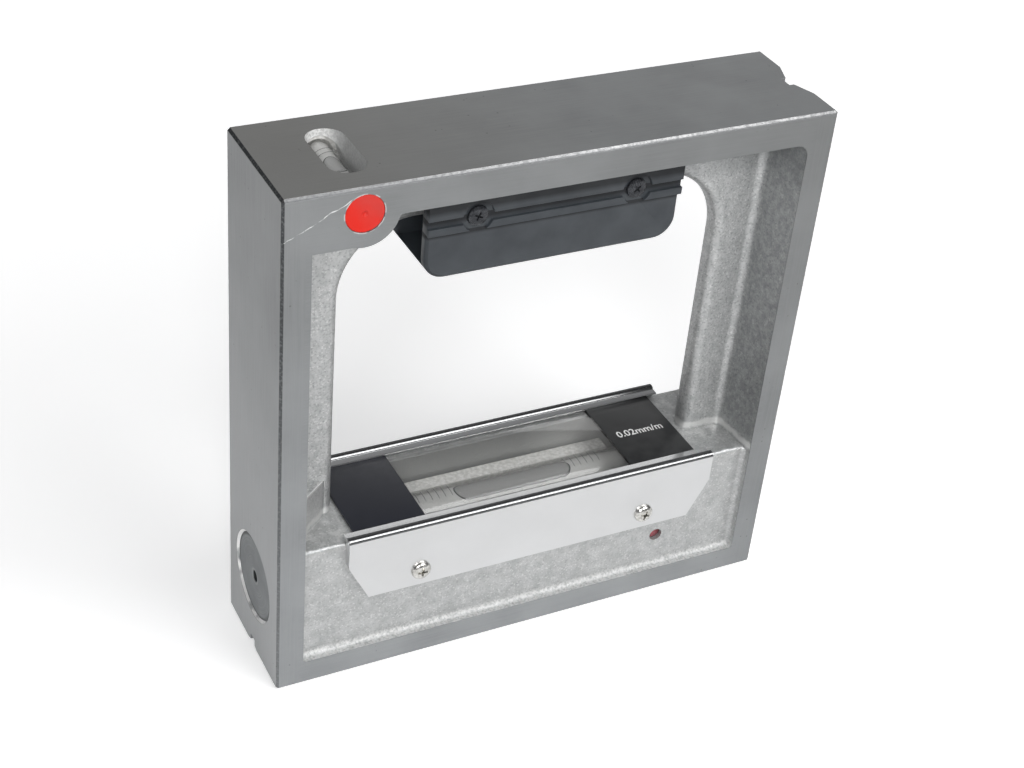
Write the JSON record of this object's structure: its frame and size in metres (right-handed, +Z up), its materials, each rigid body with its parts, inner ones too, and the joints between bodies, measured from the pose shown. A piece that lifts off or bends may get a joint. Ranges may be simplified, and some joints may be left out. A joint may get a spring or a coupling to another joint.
{
  "type": "precision frame level",
  "caption": "Square cast frame level for machine setting, with a tilting main vial under a clear cover, a short cross vial, ground faces with prism grooves and an insulating hand grip.",
  "frame": {"origin": "middle of the ground base face", "axes": "+X along the main vial to the right, +Y to the back, +Z up"},
  "size_m": [0.15, 0.04, 0.15],
  "materials": {
    "casting": "ground outside, silver painted inside",
    "plug_steel": "turned",
    "carrier_metal": "satin",
    "vial_glass": "clear",
    "spirit": "clear liquid",
    "bubble": "clear",
    "plaster": "matt",
    "screw_steel": "plated",
    "seal_red": "lacquer",
    "clear_plate": "clear acrylic",
    "black_plate": "satin",
    "bright_sheet": "bright",
    "grip_black": "satin",
    "screw_black": "blackened",
    "plug_red": "smooth"
  },
  "bodies": {
    "frame": {"frame_casting": "casting", "bore_plug": "plug_steel", "carrier_pivot_pin": "plug_steel", "window_plate": "clear_plate", "left_end_plate": "black_plate", "right_end_plate": "black_plate", "front_cover": "bright_sheet", "rear_cover": "bright_sheet", "front_cover_screws": "screw_steel", "rear_cover_screws": "screw_steel", "hand_grip": "grip_black", "grip_screws": "screw_black", "cross_vial": "vial_glass", "cross_spirit": "spirit", "cross_vial_seats": "plaster", "cross_front_plug": "plug_red", "cross_rear_plug": "plug_red"},
    "carrier": {"vial_carrier": "carrier_metal", "main_vial": "vial_glass", "main_spirit": "spirit", "vial_seats": "plaster"},
    "adjuster": {"zero_adjuster": "screw_steel", "adjuster_seal": "seal_red"},
    "main_bubble": {"main_bubble": "bubble"},
    "cross_bubble": {"cross_bubble": "bubble"}
  },
  "joints": [
    {"name": "adjuster_turn", "type": "hinge", "parent": "frame", "child": "adjuster", "pos_m": [0.0415, -0.012, 0.018], "axis": [0, 1, 0], "range_deg": [-45, 45]},
    {"name": "carrier_tilt", "type": "hinge", "parent": "frame", "child": "carrier", "pos_m": [-0.0415, 0, 0.018], "axis": [0, 1, 0], "range_deg": [-0.24, 0.24]},
    {"name": "main_bubble_run", "type": "slide", "parent": "carrier", "child": "main_bubble", "axis": [1, 0, 0], "range_m": [-0.0205, 0.0175]},
    {"name": "cross_bubble_run", "type": "slide", "parent": "frame", "child": "cross_bubble", "axis": [0, 1, 0], "range_m": [-0.008, 0.008]}
  ],
  "couplings": [
    {"joint": "adjuster_turn", "follows": "carrier_tilt", "ratio": 184}
  ]
}
